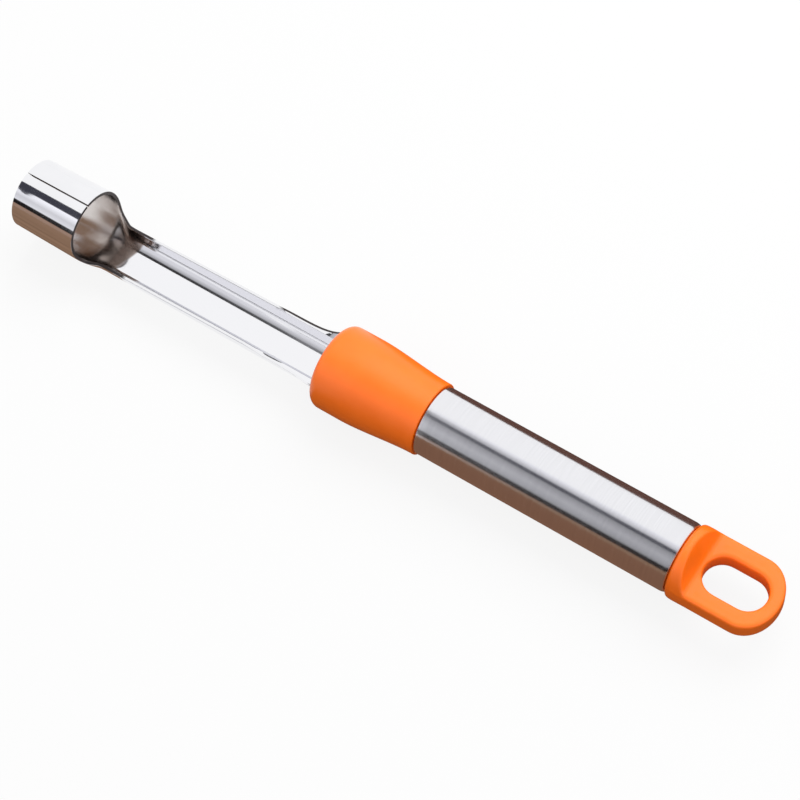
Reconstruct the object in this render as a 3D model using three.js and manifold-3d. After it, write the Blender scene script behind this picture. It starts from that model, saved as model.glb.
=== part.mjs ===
// Apple corer: a rolled sheet blade, a plastic collar, a tube handle and an end cap with a hanging loop.
// Millimetres. +X runs from the cutting mouth to the hanging loop, and +Z is the open side of the trough.
// The origin lies on the surface that the corer rests on, under the middle of its length.

import * as THREE from 'three';
import { mergeVertices } from 'three/addons/utils/BufferGeometryUtils.js';
import Module from 'manifold-3d';

const wasm = await Module();
wasm.setup();

// Fits
const CLEARANCE = 0.3;             // between pieces that meet
const OVERCUT = 2;                 // how far a cutter runs past the face that it cuts

// Blade sheet
const SHEET = 0.9;
const EDGE_SHEET = 0.25;           // what the inside bevel leaves at the cutting mouth
const BEVEL_LENGTH = 1.6;

// Cutter ring
const RING_LENGTH = 19.6;
const MOUTH_RADIUS = 9.45;         // outside, a little smaller than the back so that the core slides free
const RING_BACK_RADIUS = 9.8;
const RING_RISE = 3.5;             // ring axis above the handle axis
const SEAM_GAP = 0.4;

// Neck
const NECK_LENGTH = 5.2;           // from the back rim of the ring to the level lips
const NECK_TAPER_LEAD = 0.5;       // the sheet starts to narrow this far before the back rim
const NECK_TAPER_LENGTH = 5.7;
const NECK_CORNER_HEIGHT = 8.5;    // where the back rim turns into the neck, above the handle axis
const NECK_CORNER_LEAN = 0.5;      // how far the edge leans back as it leaves the rim
const NECK_CORNER_DROP = 8.5;
const NECK_LIP_PULL = 4.2;         // length of the soft run-out into the lips

// Trough shank
const TROUGH_LENGTH = 68.6;
const TROUGH_RADIUS = 7;           // outside, to each side and down
const TROUGH_RISE = 0.3;           // trough axis above the handle axis
const TROUGH_POWER = 3;            // of its superellipse section: flatter bottom and fuller corners than a circle
const LIP_FRONT_HEIGHT = -1.6;     // lips above the handle axis, behind the neck
const LIP_BACK_HEIGHT = -0.1;      // and before the shoulders

// Shoulders and tang
const SHOULDER_SWEEP = 16;         // length over which the walls rise towards the collar
const SHOULDER_LAND = 0.6;         // full height from there to the collar
const SHOULDER_HEIGHT = 2.1;       // above the lips
const SHOULDER_LEAN = 40;          // degrees outwards
const SHOULDER_ROOT = 0.3;         // how deep the shoulders run into the lips
const TANG_WIDTH = 13;
const TANG_BACKING = 5;            // plastic behind the end of the tang
const LOCK_HOLE_RADIUS = 2.5;
const LOCK_HOLE_COUNT = 2;
const LOCK_HOLE_PITCH = 11;

// Handle tube
const TUBE_SPAN = 70.4;            // from the collar to the cap
const TUBE_RADIUS = 9.15;
const TUBE_WALL = 0.6;
const TUBE_ROLL_LENGTH = 1.2;      // back rim rolled in a little over the plug
const TUBE_ROLL_DEPTH = 0.25;

// Front collar
const COLLAR_LENGTH = 30.1;
const COLLAR_RADIUS = 11.3;
const COLLAR_NOSE_ROUND = 3;
const COLLAR_BARREL_LENGTH = 9;    // full radius from the front face to here
const COLLAR_TAPER_PULL = 6;
const COLLAR_STEP = 0.6;           // collar above the tube at the joint
const COLLAR_BACK_ROUND = 0.3;
const SPIGOT_LENGTH = 18;

// Ribs that grip the inside of the tube
const RIB_COUNT = 6;
const RIB_HEIGHT = 0.5;
const RIB_SHARE = 0.3;             // part of the circle that the ribs take up

// End cap and hanging loop
const CAP_LENGTH = 25.5;
const CAP_STEP = 0.6;              // cap above the tube at the joint
const CAP_FRONT_ROUND = 1.2;
const CAP_RIM = 2.9;               // round part before the scoops, at its narrowest
const SCOOP_LENGTH = 2.4;
const TAB_THICKNESS = 5.6;
const TAB_INSET = 0.1;             // tab inside the round cap on each side
const TAB_END_LENGTH = 7.9;        // length of the rounded end
const TAB_EDGE_ROUND = 0.8;
const SLOT_FRONT = 5.7;            // front end of the slot, behind the front of the cap
const SLOT_END_WALL = 3.5;         // plastic behind the slot
const SLOT_WIDTH = 10;
const PLUG_LENGTH = 14;
const PLUG_CORE_RADIUS = 5;
const PLUG_CORE_DEPTH = 12;

// Facets
const ROUND_SEGMENTS = 64;         // steps of a full turn
const CORE_STEPS = 18;             // steps across the middle of the sheet, which runs on as the tang
const SIDE_STEPS = 6;              // more steps up each side of the trough
const RING_SIDE_STEPS = 8;         // and up each side of the ring
const NECK_STEPS = 12;
const TROUGH_STEPS = 4;
const ROUND_STEPS = 5;             // steps of a small rounded edge
const CURVE_STEPS = 10;            // steps of a long soft curve
const OUTLINE_STEPS = 16;          // steps of each curve in the loop's outline
const RIB_STEPS = 3;               // steps of each arc in a ribbed outline

// Stations along the corer, from the cutting mouth
const NECK_FRONT = RING_LENGTH;
const NECK_BACK = NECK_FRONT + NECK_LENGTH;
const COLLAR_FRONT = NECK_BACK + TROUGH_LENGTH;
const COLLAR_BACK = COLLAR_FRONT + COLLAR_LENGTH;
const CAP_FRONT = COLLAR_BACK + TUBE_SPAN;
const OVERALL_LENGTH = CAP_FRONT + CAP_LENGTH;

// Sizes that follow from the ones above
const TANG_LENGTH = COLLAR_LENGTH - TANG_BACKING;
const SHOULDER_BACK = COLLAR_FRONT - CLEARANCE;
const SHOULDER_CREST = SHOULDER_BACK - SHOULDER_LAND;
const SHOULDER_FRONT = SHOULDER_CREST - SHOULDER_SWEEP;
const TUBE_BORE_RADIUS = TUBE_RADIUS - TUBE_WALL;
const RIB_RADIUS = TUBE_BORE_RADIUS - CLEARANCE;
const SPIGOT_RADIUS = RIB_RADIUS - RIB_HEIGHT;
const COLLAR_BACK_RADIUS = TUBE_RADIUS + COLLAR_STEP;
const CAP_RADIUS = TUBE_RADIUS + CAP_STEP;
const TAB_HALF_WIDTH = CAP_RADIUS - TAB_INSET;
const SLOT_BACK = CAP_LENGTH - SLOT_END_WALL;

// Solids

function toSolid(geometry) {
  const bare = geometry.clone();
  bare.deleteAttribute('normal');
  bare.deleteAttribute('uv');
  const merged = mergeVertices(bare, 1e-4);
  return new wasm.Manifold(new wasm.Mesh({
    numProp: 3,
    vertProperties: new Float32Array(merged.attributes.position.array),
    triVerts: new Uint32Array(merged.index.array),
  }));
}

function toGeometry(solid) {
  const mesh = solid.getMesh();
  const geometry = new THREE.BufferGeometry();
  geometry.setAttribute('position', new THREE.BufferAttribute(mesh.vertProperties, 3));
  geometry.setIndex(new THREE.BufferAttribute(mesh.triVerts, 1));
  geometry.computeVertexNormals();
  return geometry;
}

// A profile of (radius, distance along X) points turned about the X axis.
function turned(profile) {
  return new THREE.LatheGeometry(profile, ROUND_SEGMENTS).rotateZ(-Math.PI / 2);
}

// An outline in (Y, Z) drawn out along +X from the given station.
function drawnAlongX(outline, start, length) {
  const geometry = new THREE.ExtrudeGeometry(outline, {
    depth: length,
    bevelEnabled: false,
    curveSegments: RIB_STEPS,
  });
  const axes = new THREE.Matrix4().makeBasis(
    new THREE.Vector3(0, 1, 0),
    new THREE.Vector3(0, 0, 1),
    new THREE.Vector3(1, 0, 0),
  );
  return geometry.applyMatrix4(axes).translate(start, 0, 0);
}

function upright(radius, height, x) {
  return new THREE.CylinderGeometry(radius, radius, height, ROUND_SEGMENTS / 2)
    .rotateX(Math.PI / 2)
    .translate(x, 0, 0);
}

// Blade sheet: rows of superellipse arcs across the blade, each open at the top by a different amount

const ROUND_POWER = 2;             // a superellipse of this power is a circle
const CORE_SHARE = CORE_STEPS / (CORE_STEPS + 2 * SIDE_STEPS);

function smoothStep(value) {
  return THREE.MathUtils.smoothstep(value, 0, 1);
}

function spread(low, high, steps) {
  return Array.from({ length: steps + 1 }, (_, i) => THREE.MathUtils.lerp(low, high, i / steps));
}

function signedPower(value, power) {
  return Math.sign(value) * Math.abs(value) ** power;
}

// Angle from the bottom of the sheet up to a lip at the given height.
function lipAngle(section, height) {
  return Math.acos(signedPower((section.rise - height) / section.radius, section.power / 2));
}

// Point across a section at an angle from its bottom, at a depth inside its outer face, as (Y, Z).
function sheetPoint(section, angle, depth) {
  const bulge = 2 / section.power;
  const outward = new THREE.Vector2(
    signedPower(Math.sin(angle), 2 - bulge),
    -signedPower(Math.cos(angle), 2 - bulge),
  ).normalize();
  return new THREE.Vector2(
    section.radius * signedPower(Math.sin(angle), bulge),
    section.rise - section.radius * signedPower(Math.cos(angle), bulge),
  ).addScaledVector(outward, -depth);
}

function sectionAt(x) {
  const neck = smoothStep((x - NECK_FRONT + NECK_TAPER_LEAD) / NECK_TAPER_LENGTH);
  const ringRadius = THREE.MathUtils.lerp(MOUTH_RADIUS, RING_BACK_RADIUS, Math.min(x / RING_LENGTH, 1));
  return {
    x,
    radius: THREE.MathUtils.lerp(ringRadius, TROUGH_RADIUS, neck),
    rise: THREE.MathUtils.lerp(RING_RISE, TROUGH_RISE, neck),
    power: THREE.MathUtils.lerp(ROUND_POWER, TROUGH_POWER, neck),
    outerDepth: 0,
    innerDepth: SHEET,
  };
}

// Angles across the sheet, with a step at the edges of the core, where the tang runs on by itself.
function bodyAngles(coreAngle, edgeAngle) {
  const side = spread(coreAngle, edgeAngle, SIDE_STEPS).slice(1);
  return [...mirrored(side), ...spread(-coreAngle, coreAngle, CORE_STEPS), ...side];
}

function mirrored(angles) {
  return angles.map((angle) => -angle).reverse();
}

function ringRow(x, sheet) {
  const section = sectionAt(x);
  const cornerAngle = lipAngle(sectionAt(NECK_FRONT), NECK_CORNER_HEIGHT);
  const seamAngle = Math.PI - SEAM_GAP / 2 / section.radius;
  const side = spread(cornerAngle, seamAngle, RING_SIDE_STEPS).slice(1);
  const angles = [...mirrored(side), ...bodyAngles(cornerAngle * CORE_SHARE, cornerAngle), ...side];
  return { ...section, innerDepth: sheet, angles, firstColumn: 0 };
}

function bodyRow(section, lipHeight) {
  const angle = lipAngle(section, lipHeight);
  return { ...section, angles: bodyAngles(angle * CORE_SHARE, angle), firstColumn: RING_SIDE_STEPS };
}

function neckRows() {
  const edge = new THREE.CubicBezierCurve(
    new THREE.Vector2(NECK_FRONT, NECK_CORNER_HEIGHT),
    new THREE.Vector2(NECK_FRONT + NECK_CORNER_LEAN, NECK_CORNER_HEIGHT - NECK_CORNER_DROP),
    new THREE.Vector2(NECK_BACK - NECK_LIP_PULL, LIP_FRONT_HEIGHT),
    new THREE.Vector2(NECK_BACK, LIP_FRONT_HEIGHT),
  );
  return edge.getPoints(NECK_STEPS).slice(1).map((point) => bodyRow(sectionAt(point.x), point.y));
}

function troughRows() {
  return spread(0, 1, TROUGH_STEPS).slice(1).map((share) => {
    const x = THREE.MathUtils.lerp(NECK_BACK, SHOULDER_FRONT, share);
    return bodyRow(sectionAt(x), THREE.MathUtils.lerp(LIP_FRONT_HEIGHT, LIP_BACK_HEIGHT, share));
  });
}

// The walls end against the collar, and the core of the sheet runs on into it as the tang.
function tangRows() {
  const seat = sectionAt(SHOULDER_BACK);
  const angles = bodyAngles(tangAngle(), lipAngle(seat, LIP_BACK_HEIGHT));
  return [
    { ...seat, angles, firstColumn: RING_SIDE_STEPS },
    tangRow(sectionAt(COLLAR_FRONT + TANG_LENGTH), tangAngle()),
  ];
}

// Angle from the bottom of the trough to the edge of the tang.
function tangAngle() {
  return Math.asin(signedPower(TANG_WIDTH / 2 / TROUGH_RADIUS, TROUGH_POWER / 2));
}

function tangRow(section, angle) {
  return { ...section, angles: spread(-angle, angle, CORE_STEPS), firstColumn: RING_SIDE_STEPS + SIDE_STEPS };
}

// A closed skin round the rows. Where a row has fewer columns than the row before it, the sheet ends there.
function rolledSheet(rows) {
  const positions = [];
  const triangles = [];

  function addSkin(row, depth) {
    return row.angles.map((angle) => {
      const point = sheetPoint(row, angle, depth);
      return positions.push(row.x, point.x, point.y) / 3 - 1;
    });
  }
  function addQuad(a, b, c, d) {
    triangles.push(a, b, c, a, c, d);
  }

  const outer = rows.map((row) => addSkin(row, row.outerDepth));
  const inner = rows.map((row) => addSkin(row, row.innerDepth));

  function addEndWall(row, column, facesBack) {
    const corners = [
      outer[row][column],
      outer[row][column + 1],
      inner[row][column + 1],
      inner[row][column],
    ];
    addQuad(...(facesBack ? corners : corners.reverse()));
  }

  rows.forEach((row, i) => {
    const cells = row.angles.length - 1;
    const next = rows[i + 1];
    const shift = next ? next.firstColumn - row.firstColumn : cells;
    const shared = next ? next.angles.length - 1 : 0;
    for (let column = 0; column < cells; column += 1) {
      if (i === 0) {
        addEndWall(i, column, false);
      }
      if (column < shift || column >= shift + shared) {
        addEndWall(i, column, true);
        continue;
      }
      const to = column - shift;
      addQuad(outer[i][column], outer[i][column + 1], outer[i + 1][to + 1], outer[i + 1][to]);
      addQuad(inner[i][column], inner[i + 1][to], inner[i + 1][to + 1], inner[i][column + 1]);
    }
    if (next) {
      const last = shift + shared;
      addQuad(outer[i][shift], outer[i + 1][0], inner[i + 1][0], inner[i][shift]);
      addQuad(outer[i][last], inner[i][last], inner[i + 1][shared], outer[i + 1][shared]);
    }
  });

  const geometry = new THREE.BufferGeometry();
  geometry.setAttribute('position', new THREE.Float32BufferAttribute(positions, 3));
  geometry.setIndex(triangles);
  return geometry;
}

// One shoulder: the wall rises ever faster from the lip towards the collar and leans out. The side is 1 or -1.
function shoulderGeometry(side) {
  const outline = new THREE.Shape();
  outline.moveTo(SHOULDER_FRONT, -SHOULDER_ROOT);
  outline.lineTo(SHOULDER_FRONT, 0);
  outline.bezierCurveTo(
    SHOULDER_FRONT + SHOULDER_SWEEP / 3,
    0,
    SHOULDER_CREST - SHOULDER_SWEEP / 3,
    0,
    SHOULDER_CREST,
    SHOULDER_HEIGHT,
  );
  outline.lineTo(SHOULDER_BACK, SHOULDER_HEIGHT);
  outline.lineTo(SHOULDER_BACK, -SHOULDER_ROOT);
  outline.closePath();
  const section = sectionAt(SHOULDER_BACK);
  const lip = sheetPoint(section, side * lipAngle(section, LIP_BACK_HEIGHT), SHEET / 2);
  return new THREE.ExtrudeGeometry(outline, { depth: SHEET, bevelEnabled: false, curveSegments: CURVE_STEPS })
    .translate(0, 0, -SHEET / 2)
    .rotateX(Math.PI / 2 - side * THREE.MathUtils.degToRad(SHOULDER_LEAN))
    .translate(0, lip.x, lip.y);
}

// Upright rods through the bottom of the tang: the lock holes, or the pegs that fill them.
function lockRods(collarFront, radius) {
  const middle = collarFront + TANG_LENGTH / 2;
  return Array.from({ length: LOCK_HOLE_COUNT }, (_, i) => {
    const x = middle + (i - (LOCK_HOLE_COUNT - 1) / 2) * LOCK_HOLE_PITCH;
    return toSolid(upright(radius, TROUGH_RADIUS, x).translate(0, 0, TROUGH_RISE - TROUGH_RADIUS));
  });
}

function bladeGeometry() {
  const sheet = rolledSheet([
    ringRow(0, EDGE_SHEET),
    ringRow(BEVEL_LENGTH, SHEET),
    ringRow(NECK_FRONT - NECK_TAPER_LEAD, SHEET),
    ringRow(NECK_FRONT, SHEET),
    ...neckRows(),
    ...troughRows(),
    ...tangRows(),
  ]);
  const holes = lockRods(COLLAR_FRONT, LOCK_HOLE_RADIUS);
  const whole = toSolid(sheet).add(toSolid(shoulderGeometry(1))).add(toSolid(shoulderGeometry(-1)));
  return toGeometry(holes.reduce((solid, hole) => solid.subtract(hole), whole));
}

// The room that the tang takes up in the collar, with the lock pegs left standing.
function tangRoom() {
  const section = { ...sectionAt(COLLAR_FRONT), outerDepth: -CLEARANCE, innerDepth: SHEET + CLEARANCE };
  const angle = tangAngle() + CLEARANCE / TROUGH_RADIUS;
  const room = rolledSheet([
    tangRow({ ...section, x: -OVERCUT }, angle),
    tangRow({ ...section, x: TANG_LENGTH + CLEARANCE }, angle),
  ]);
  const pegs = lockRods(0, LOCK_HOLE_RADIUS - CLEARANCE);
  return pegs.reduce((solid, peg) => solid.subtract(peg), toSolid(room));
}

// Plastic pieces

// A round rod with ribs along it, which grips the inside of the tube.
function ribbedRod(start, length) {
  const pitch = 2 * Math.PI / RIB_COUNT;
  const ribTurn = pitch * RIB_SHARE;
  const outline = new THREE.Shape();
  for (let i = 0; i < RIB_COUNT; i += 1) {
    const turn = i * pitch;
    outline.absarc(0, 0, RIB_RADIUS, turn, turn + ribTurn, false);
    outline.absarc(0, 0, SPIGOT_RADIUS, turn + ribTurn, turn + pitch, false);
  }
  outline.closePath();
  return drawnAlongX(outline, start, length);
}

function quarterRound(centreRadius, centreX, radius, fromTurn, toTurn) {
  return spread(fromTurn, toTurn, ROUND_STEPS).map((turn) => (
    new THREE.Vector2(centreRadius + radius * Math.cos(turn), centreX + radius * Math.sin(turn))
  ));
}

function collarGeometry() {
  const taper = new THREE.CubicBezierCurve(
    new THREE.Vector2(COLLAR_RADIUS, COLLAR_BARREL_LENGTH),
    new THREE.Vector2(COLLAR_RADIUS, COLLAR_BARREL_LENGTH + COLLAR_TAPER_PULL),
    new THREE.Vector2(COLLAR_BACK_RADIUS, COLLAR_LENGTH - COLLAR_TAPER_PULL),
    new THREE.Vector2(COLLAR_BACK_RADIUS, COLLAR_LENGTH - COLLAR_BACK_ROUND),
  );
  const noseCentre = COLLAR_RADIUS - COLLAR_NOSE_ROUND;
  const backCentre = COLLAR_BACK_RADIUS - COLLAR_BACK_ROUND;
  const barrel = turned([
    new THREE.Vector2(0, 0),
    ...quarterRound(noseCentre, COLLAR_NOSE_ROUND, COLLAR_NOSE_ROUND, -Math.PI / 2, 0),
    ...taper.getPoints(CURVE_STEPS).slice(0, -1),
    ...quarterRound(backCentre, COLLAR_LENGTH - COLLAR_BACK_ROUND, COLLAR_BACK_ROUND, 0, Math.PI / 2),
    new THREE.Vector2(0, COLLAR_LENGTH),
  ]);
  const spigot = ribbedRod(COLLAR_LENGTH - OVERCUT, OVERCUT + SPIGOT_LENGTH);
  return toGeometry(toSolid(barrel).add(toSolid(spigot)).subtract(tangRoom()));
}

function tubeGeometry() {
  const length = TUBE_SPAN - 2 * CLEARANCE;
  const roll = spread(0, 1, ROUND_STEPS).map((share) => ({
    x: length - TUBE_ROLL_LENGTH + TUBE_ROLL_LENGTH * share,
    dip: TUBE_ROLL_DEPTH * share * share,
  }));
  const outside = roll.map(({ x, dip }) => new THREE.Vector2(TUBE_RADIUS - dip, x));
  const inside = roll.map(({ x, dip }) => new THREE.Vector2(TUBE_BORE_RADIUS - dip, x)).reverse();
  return turned([
    new THREE.Vector2(TUBE_BORE_RADIUS, 0),
    new THREE.Vector2(TUBE_RADIUS, 0),
    ...outside,
    ...inside,
    new THREE.Vector2(TUBE_BORE_RADIUS, 0),
  ]);
}

// The region above one concave scoop, in side view, cut right across the cap.
function scoopCutter(side) {
  const floor = TAB_THICKNESS / 2;
  const top = CAP_RADIUS + OVERCUT;
  const height = CAP_RADIUS - floor;
  const outline = new THREE.Shape();
  outline.moveTo(CAP_RIM, side * top);
  outline.lineTo(CAP_RIM, side * CAP_RADIUS);
  for (const turn of spread(0, Math.PI / 2, CURVE_STEPS)) {
    const x = CAP_RIM + SCOOP_LENGTH * (1 - Math.cos(turn));
    outline.lineTo(x, side * (CAP_RADIUS - height * Math.sin(turn)));
  }
  outline.lineTo(CAP_LENGTH, side * floor);
  outline.lineTo(CAP_LENGTH, side * top);
  outline.closePath();
  const width = 2 * top;
  return new THREE.ExtrudeGeometry(outline, { depth: width, bevelEnabled: false })
    .translate(0, 0, -width / 2)
    .rotateX(Math.PI / 2);
}

// The flat loop, with soft edges round its outline and round the slot.
function tabGeometry() {
  const endCentre = CAP_LENGTH - TAB_END_LENGTH;
  const outline = new THREE.Shape();
  outline.moveTo(CAP_RIM, -TAB_HALF_WIDTH);
  outline.lineTo(endCentre, -TAB_HALF_WIDTH);
  outline.absellipse(endCentre, 0, TAB_END_LENGTH, TAB_HALF_WIDTH, -Math.PI / 2, Math.PI / 2, false, 0);
  outline.lineTo(CAP_RIM, TAB_HALF_WIDTH);
  outline.closePath();

  const slotRadius = SLOT_WIDTH / 2;
  const slot = new THREE.Path();
  slot.absarc(SLOT_FRONT + slotRadius, 0, slotRadius, Math.PI / 2, 3 * Math.PI / 2, false);
  slot.absarc(SLOT_BACK - slotRadius, 0, slotRadius, -Math.PI / 2, Math.PI / 2, false);
  slot.closePath();
  outline.holes.push(slot);

  const depth = TAB_THICKNESS - 2 * TAB_EDGE_ROUND;
  return new THREE.ExtrudeGeometry(outline, {
    depth,
    bevelThickness: TAB_EDGE_ROUND,
    bevelSize: TAB_EDGE_ROUND,
    bevelOffset: -TAB_EDGE_ROUND,
    bevelSegments: ROUND_STEPS,
    curveSegments: OUTLINE_STEPS,
  }).translate(0, 0, -depth / 2);
}

function capGeometry() {
  const roundLength = CAP_RIM + SCOOP_LENGTH;
  const edgeCentre = CAP_RADIUS - CAP_FRONT_ROUND;
  const body = turned([
    new THREE.Vector2(0, 0),
    ...quarterRound(edgeCentre, CAP_FRONT_ROUND, CAP_FRONT_ROUND, -Math.PI / 2, 0),
    new THREE.Vector2(CAP_RADIUS, roundLength),
    new THREE.Vector2(0, roundLength),
  ]);
  const neckRadius = RIB_RADIUS - TUBE_ROLL_DEPTH;
  const neckLength = CLEARANCE + TUBE_ROLL_LENGTH;
  const neck = turned([
    new THREE.Vector2(0, -neckLength),
    new THREE.Vector2(neckRadius, -neckLength),
    new THREE.Vector2(neckRadius, OVERCUT),
    new THREE.Vector2(0, OVERCUT),
  ]);
  const plug = ribbedRod(-PLUG_LENGTH, PLUG_LENGTH - neckLength + CLEARANCE);
  const core = turned([
    new THREE.Vector2(0, -PLUG_LENGTH - OVERCUT),
    new THREE.Vector2(PLUG_CORE_RADIUS, -PLUG_LENGTH - OVERCUT),
    new THREE.Vector2(PLUG_CORE_RADIUS, PLUG_CORE_DEPTH - PLUG_LENGTH),
    new THREE.Vector2(0, PLUG_CORE_DEPTH - PLUG_LENGTH),
  ]);
  const scooped = toSolid(body)
    .subtract(toSolid(scoopCutter(1)))
    .subtract(toSolid(scoopCutter(-1)));
  const whole = scooped
    .add(toSolid(tabGeometry()))
    .add(toSolid(neck))
    .add(toSolid(plug))
    .subtract(toSolid(core));
  return toGeometry(whole);
}

// Assembly

const polishedSteel = new THREE.MeshStandardMaterial({ color: 0xd6d8dc, roughness: 0.08, metalness: 1 });
const satinSteel = new THREE.MeshStandardMaterial({ color: 0xc8c8cc, roughness: 0.28, metalness: 1 });
const orangePlastic = new THREE.MeshStandardMaterial({ color: 0xff7a24, roughness: 0.55, metalness: 0 });

function piece(name, geometry, material, x) {
  const mesh = new THREE.Mesh(geometry, material);
  mesh.name = name;
  mesh.position.x = x;
  return mesh;
}

const corer = new THREE.Group();
corer.name = 'apple_corer';
corer.position.set(-OVERALL_LENGTH / 2, 0, COLLAR_RADIUS);
corer.add(
  piece('corer_blade', bladeGeometry(), polishedSteel, 0),
  piece('front_collar', collarGeometry(), orangePlastic, COLLAR_FRONT),
  piece('handle_tube', tubeGeometry(), satinSteel, COLLAR_BACK + CLEARANCE),
  piece('end_cap', capGeometry(), orangePlastic.clone(), CAP_FRONT),
);

const scene = new THREE.Group();
scene.add(corer);

export default scene;
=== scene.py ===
# Apple corer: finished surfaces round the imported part, with its studio and camera.
# Metres, in the part's own frame: +X from the cutting mouth to the hanging loop, +Z out of the open trough.

import math

import bmesh
import bpy
from mathutils import Matrix, Vector


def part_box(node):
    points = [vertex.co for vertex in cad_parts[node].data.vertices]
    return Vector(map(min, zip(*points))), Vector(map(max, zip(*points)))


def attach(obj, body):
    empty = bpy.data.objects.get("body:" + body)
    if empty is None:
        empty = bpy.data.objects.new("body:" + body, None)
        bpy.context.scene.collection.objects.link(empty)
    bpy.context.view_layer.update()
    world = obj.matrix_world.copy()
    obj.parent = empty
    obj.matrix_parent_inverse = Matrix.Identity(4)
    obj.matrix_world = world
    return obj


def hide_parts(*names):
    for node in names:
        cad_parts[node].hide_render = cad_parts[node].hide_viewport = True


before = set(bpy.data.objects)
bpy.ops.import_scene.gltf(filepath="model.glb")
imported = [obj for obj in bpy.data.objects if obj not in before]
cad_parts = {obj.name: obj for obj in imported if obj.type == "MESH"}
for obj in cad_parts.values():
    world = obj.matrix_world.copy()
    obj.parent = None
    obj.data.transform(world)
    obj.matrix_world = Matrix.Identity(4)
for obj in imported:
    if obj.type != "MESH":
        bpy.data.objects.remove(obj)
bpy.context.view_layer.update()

MM = 0.001

# Places and sizes taken from the frame
BLADE_LOW, BLADE_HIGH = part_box("corer_blade")
COLLAR_LOW, COLLAR_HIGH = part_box("front_collar")
TUBE_LOW, TUBE_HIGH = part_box("handle_tube")
CAP_LOW, CAP_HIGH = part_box("end_cap")

AXIS_HEIGHT = (TUBE_LOW.z + TUBE_HIGH.z) / 2
MOUTH_X = BLADE_LOW.x
COLLAR_FRONT = COLLAR_LOW.x
TUBE_RADIUS = (TUBE_HIGH.y - TUBE_LOW.y) / 2
COLLAR_RADIUS = (COLLAR_HIGH.y - COLLAR_LOW.y) / 2
CAP_RADIUS = (CAP_HIGH.z - CAP_LOW.z) / 2
CAP_END = CAP_HIGH.x

# Fits
JOINT_GAP = 0.3 * MM               # open line between tube and plastic
SEAT_GAP = 0.05 * MM               # between the blade and the plastic that holds it
FOLD_NEAR = 0.001 * MM             # a place this near a fold is on it

# Blade sheet
SHEET = 0.9 * MM
EDGE_SHEET = 0.25 * MM
GRIND_LENGTH = 1.6 * MM            # inside grind at the cutting mouth
EDGE_ROUND = 0.32 * MM             # polished-over lips of the stamped sheet
RIM_ROUND_SHARE = 0.2              # the ring's rim and seam keep this part of that rounding
RIM_ROUND_FADE = 1.5 * MM          # height over which the rounding shrinks from the lips up to the rim
DARK_EDGE_LENGTH = 6.5 * MM             # how far behind the neck the lips keep their sheared finish, darkened with painted shade
POLISH_LENGTH = 3 * MM             # length over which that turns into the polished one
NECK_SHADE_LEAD = 0.5 * MM            # the painted shade inside the neck starts this far before it
NECK_SHADE_LENGTH = 3.8 * MM          # and reaches this far behind it
NECK_SHADE_SLANT = 0.33               # farther on the far side than on the near one
RING_LENGTH = 19.6 * MM
MOUTH_RADIUS = 9.45 * MM
RING_RISE = 3.5 * MM               # ring axis above the handle axis
RING_BACK_RADIUS = BLADE_HIGH.z - AXIS_HEIGHT - RING_RISE
SEAM_GAP = 0.4 * MM
NECK_LENGTH = 5.2 * MM             # from the rim to where its cut has come down to the lips
NECK_TAPER_DELAY = 0.4 * MM        # the ring stays round this far behind its rim
NECK_TAPER_LENGTH = 5.6 * MM       # and then turns into the trough over this length
NECK_CORNER_HEIGHT = 8.5 * MM      # where the cut leaves the rim, above the handle's axis
NECK_CORNER_LEAN = 0.5 * MM        # the cut's curve is pulled back this far at the rim
NECK_CORNER_DROP = 8.5 * MM        # and down this far
NECK_LIP_PULL = 4.2 * MM           # and forward this far where it joins the lips
NECK_TURN = 0.6                    # share of the cut that comes down steeply before it turns along the lips
TROUGH_RADIUS = 7 * MM
TROUGH_RISE = 0.3 * MM             # trough axis above the handle axis
ROUND_POWER = 2                    # power of a round section
TROUGH_POWER = 3                   # power of the trough's section: flatter bottom and fuller corners
LIP_FRONT_HEIGHT = -1.6 * MM       # the lips at the neck, from the handle axis
LIP_BACK_HEIGHT = -0.1 * MM        # and at the shoulders
SHOULDER_SWEEP = 20 * MM           # the leaf widens over this length
SHOULDER_LAND = 2.6 * MM           # and keeps its full width from there to the collar
SHOULDER_POWER = 6                 # it widens ever faster
SHOULDER_LEAF = 2 * MM             # width of the leaf at the collar
LIP_LEAF = 0.3 * MM                # width of the leaf along the rest of the lips
SHOULDER_LEAN = math.radians(45)   # how far the leaf leans out at the collar
LEAN_SHARE = 0.35                  # part of the sweep over which it comes to lean
LEAF_ROUND_SHARE = 0.4             # part of the lips' rounding that is left at the leaf
LEAF_SHEET = 0.42 * MM             # the leaf is drawn thinner than the sheet
LEAF_SHADE_LEAD = 9.5 * MM          # the leaves' edges are darkened with painted shade this far before the collar,
LEAF_SHADE_SLANT = -1.3             # farther on the far side than on the near one
LEAF_SHADE_FADE = 4 * MM            # and that painted shade comes in over this length
TANG_WIDTH = 13 * MM
TANG_LENGTH = 25.1 * MM

# Collar
COLLAR_LENGTH = 30.1 * MM
COLLAR_NOSE_ROUND = 2.5 * MM
COLLAR_BARREL_LENGTH = 9 * MM
COLLAR_TAPER_PULL = 6 * MM         # pull of the taper's curve at both of its ends
COLLAR_STEP = 0.6 * MM             # the collar's back stands out this far over the tube
COLLAR_BACK_RADIUS = TUBE_RADIUS + COLLAR_STEP
COLLAR_BACK_ROUND = 0.3 * MM

# Tube
TUBE_WALL = 0.6 * MM
TUBE_ROLL_LENGTH = 1.2 * MM
TUBE_ROLL_DEPTH = 0.25 * MM
TUBE_EDGE_ROUND = 0.12 * MM

# Ribbed spigot and plug inside the tube
RIB_RADIUS = TUBE_RADIUS - TUBE_WALL - JOINT_GAP
RIB_HEIGHT = 0.5 * MM
RIB_COUNT = 6
RIB_SHARE = 0.3                    # part of the turn that the ribs take up
PLUG_CORE_RADIUS = 5 * MM
PLUG_CORE_DEPTH = 12 * MM

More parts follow.
